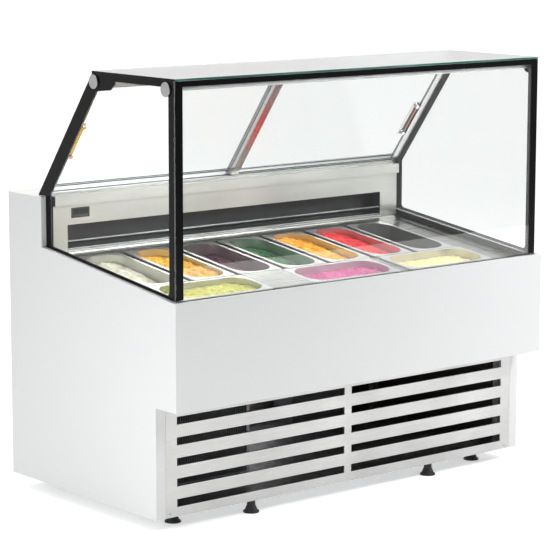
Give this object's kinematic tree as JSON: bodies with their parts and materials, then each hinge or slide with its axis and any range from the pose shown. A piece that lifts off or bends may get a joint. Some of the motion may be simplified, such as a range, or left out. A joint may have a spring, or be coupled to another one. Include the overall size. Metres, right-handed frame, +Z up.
{
  "type": "ice cream dipping cabinet",
  "caption": "Refrigerated ice cream dipping cabinet with a straight glass canopy, sliding rear doors, lift-out pans on a sloping deck and a slotted kick grille.",
  "frame": {"origin": "on the floor, below the middle of the cabinet's overall box", "axes": "+X along the cabinet to the customer's right, +Y from the customer's side to the server's side, +Z up"},
  "size_m": [1.5, 0.865, 1.349],
  "materials": {
    "white_paint": "gloss",
    "stainless": "satin",
    "pan_steel": "satin",
    "clear_glass": "gloss",
    "polished_metal": "polished",
    "black_rubber": "matte",
    "anodised_aluminium": "satin",
    "galvanised_steel": "satin",
    "rigid_foam": "matte",
    "display_plastic": "gloss",
    "lamp_diffuser": "satin",
    "fin_aluminium": "satin",
    "fan_plastic": "satin",
    "compressor_paint": "satin",
    "copper_tube": "satin",
    "grey_plastic": "satin",
    "black_plastic": "satin"
  },
  "bodies": {
    "cabinet": {"base_tray": "galvanised_steel", "tank_support_frame": "galvanised_steel", "right_side_panel": "white_paint", "left_side_panel": "white_paint", "front_panel": "white_paint", "kick_grille": "stainless", "rear_panel": "stainless", "rear_counter": "stainless", "panel_screws": "stainless", "tank_insulation": "rigid_foam", "tank_liner": "stainless", "deck_frame": "stainless", "pan_dividers": "stainless", "filler_plate": "stainless", "duct_fascia": "stainless", "discharge_louvres": "anodised_aluminium", "temperature_display": "display_plastic", "side_glass_right": "clear_glass", "side_glass_left": "clear_glass", "front_glass": "clear_glass", "top_glass": "clear_glass", "glass_clamps": "polished_metal", "glass_seals": "black_rubber", "front_top_rail": "anodised_aluminium", "led_lamp": "lamp_diffuser", "lower_door_track": "anodised_aluminium", "upper_door_track": "anodised_aluminium", "evaporator_coil": "fin_aluminium", "condenser_coil": "fin_aluminium", "fan_shroud": "galvanised_steel", "compressor": "compressor_paint", "refrigerant_pipes": "copper_tube", "control_box": "grey_plastic", "cable_gland": "black_plastic"},
    "left_door": {"left_door_pane": "clear_glass", "left_door_stiles": "anodised_aluminium", "left_door_handle": "polished_metal"},
    "right_door": {"right_door_pane": "clear_glass", "right_door_stiles": "anodised_aluminium", "right_door_handle": "polished_metal"},
    "back_pan_1": {"back_pan_1": "pan_steel"},
    "back_pan_2": {"back_pan_2": "pan_steel"},
    "back_pan_3": {"back_pan_3": "pan_steel"},
    "back_pan_4": {"back_pan_4": "pan_steel"},
    "back_pan_5": {"back_pan_5": "pan_steel"},
    "back_pan_6": {"back_pan_6": "pan_steel"},
    "back_pan_7": {"back_pan_7": "pan_steel"},
    "front_pan_left": {"front_pan_left": "pan_steel"},
    "front_pan_middle": {"front_pan_middle": "pan_steel"},
    "front_pan_right": {"front_pan_right": "pan_steel"},
    "foot_front_left": {"foot_front_left": "black_plastic"},
    "foot_front_centre_left": {"foot_front_centre_left": "black_plastic"},
    "foot_front_centre_right": {"foot_front_centre_right": "black_plastic"},
    "foot_front_right": {"foot_front_right": "black_plastic"},
    "foot_rear_left": {"foot_rear_left": "black_plastic"},
    "foot_rear_right": {"foot_rear_right": "black_plastic"},
    "evaporator_fan_left": {"evaporator_fan_left": "fan_plastic"},
    "evaporator_fan_right": {"evaporator_fan_right": "fan_plastic"},
    "condenser_fan": {"condenser_fan": "fan_plastic"},
    "power_switch": {"power_switch": "black_plastic"}
  },
  "joints": [
    {"name": "left_door_slide", "type": "slide", "parent": "cabinet", "child": "left_door", "axis": [1, 0, 0], "range_m": [0, 0.65]},
    {"name": "right_door_slide", "type": "slide", "parent": "cabinet", "child": "right_door", "axis": [-1, 0, 0], "range_m": [0, 0.65]},
    {"name": "back_pan_1_lift", "type": "slide", "parent": "cabinet", "child": "back_pan_1", "axis": [0, -0.1262, 0.992], "range_m": [0, 0.14]},
    {"name": "back_pan_2_lift", "type": "slide", "parent": "cabinet", "child": "back_pan_2", "axis": [0, -0.1262, 0.992], "range_m": [0, 0.14]},
    {"name": "back_pan_3_lift", "type": "slide", "parent": "cabinet", "child": "back_pan_3", "axis": [0, -0.1262, 0.992], "range_m": [0, 0.14]},
    {"name": "back_pan_4_lift", "type": "slide", "parent": "cabinet", "child": "back_pan_4", "axis": [0, -0.1262, 0.992], "range_m": [0, 0.14]},
    {"name": "back_pan_5_lift", "type": "slide", "parent": "cabinet", "child": "back_pan_5", "axis": [0, -0.1262, 0.992], "range_m": [0, 0.14]},
    {"name": "back_pan_6_lift", "type": "slide", "parent": "cabinet", "child": "back_pan_6", "axis": [0, -0.1262, 0.992], "range_m": [0, 0.14]},
    {"name": "back_pan_7_lift", "type": "slide", "parent": "cabinet", "child": "back_pan_7", "axis": [0, -0.1262, 0.992], "range_m": [0, 0.14]},
    {"name": "front_pan_left_lift", "type": "slide", "parent": "cabinet", "child": "front_pan_left", "axis": [0, -0.1262, 0.992], "range_m": [0, 0.14]},
    {"name": "front_pan_middle_lift", "type": "slide", "parent": "cabinet", "child": "front_pan_middle", "axis": [0, -0.1262, 0.992], "range_m": [0, 0.14]},
    {"name": "front_pan_right_lift", "type": "slide", "parent": "cabinet", "child": "front_pan_right", "axis": [0, -0.1262, 0.992], "range_m": [0, 0.14]},
    {"name": "foot_front_left_screw", "type": "slide", "parent": "cabinet", "child": "foot_front_left", "axis": [0, 0, -1], "range_m": [0, 0.02]},
    {"name": "foot_front_centre_left_screw", "type": "slide", "parent": "cabinet", "child": "foot_front_centre_left", "axis": [0, 0, -1], "range_m": [0, 0.02]},
    {"name": "foot_front_centre_right_screw", "type": "slide", "parent": "cabinet", "child": "foot_front_centre_right", "axis": [0, 0, -1], "range_m": [0, 0.02]},
    {"name": "foot_front_right_screw", "type": "slide", "parent": "cabinet", "child": "foot_front_right", "axis": [0, 0, -1], "range_m": [0, 0.02]},
    {"name": "foot_rear_left_screw", "type": "slide", "parent": "cabinet", "child": "foot_rear_left", "axis": [0, 0, -1], "range_m": [0, 0.02]},
    {"name": "foot_rear_right_screw", "type": "slide", "parent": "cabinet", "child": "foot_rear_right", "axis": [0, 0, -1], "range_m": [0, 0.02]},
    {"name": "evaporator_fan_left_spin", "type": "hinge", "parent": "cabinet", "child": "evaporator_fan_left", "pos_m": [-0.22, 0.0505, 0.5126], "axis": [0, 1, 0], "continuous": true},
    {"name": "evaporator_fan_right_spin", "type": "hinge", "parent": "cabinet", "child": "evaporator_fan_right", "pos_m": [0.22, 0.0505, 0.5126], "axis": [0, 1, 0], "continuous": true},
    {"name": "condenser_fan_spin", "type": "hinge", "parent": "cabinet", "child": "condenser_fan", "pos_m": [-0.4, -0.057, 0.189], "axis": [0, 1, 0], "continuous": true},
    {"name": "power_switch_tip", "type": "hinge", "parent": "cabinet", "child": "power_switch", "pos_m": [0.42, 0.4125, 0.265], "axis": [1, 0, 0], "range_deg": [-7, 7]}
  ]
}
